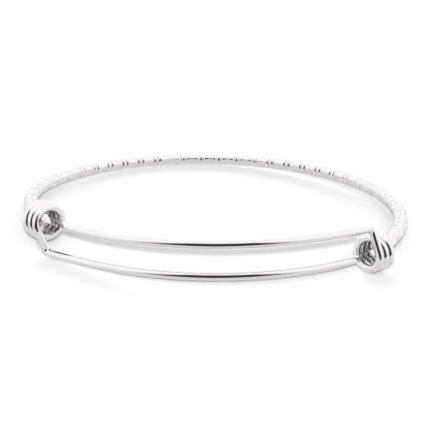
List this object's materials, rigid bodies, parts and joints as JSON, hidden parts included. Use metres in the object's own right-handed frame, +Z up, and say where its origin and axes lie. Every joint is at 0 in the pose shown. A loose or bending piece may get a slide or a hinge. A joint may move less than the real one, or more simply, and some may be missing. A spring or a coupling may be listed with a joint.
{
  "type": "expandable wire bangle bracelet",
  "caption": "Round wire bangle that widens to pass the hand: overlapping front wires end in coils that slide along the ring, and a patterned tube covers the back.",
  "frame": {"origin": "on the surface that the bangle lies on, under the middle of its bounding box", "axes": "+Z up, out of the bangle's opening; -Y to the front, where the two wires overlap; +X to the right seen from the front"},
  "size_m": [0.0678, 0.0674, 0.0083],
  "materials": {
    "polished_wire": "mirror polished",
    "patterned_tube": "bright, rolled pattern"
  },
  "bodies": {
    "root": {"spring_wire": "polished_wire", "patterned_sleeve": "patterned_tube"}
  },
  "joints": []
}
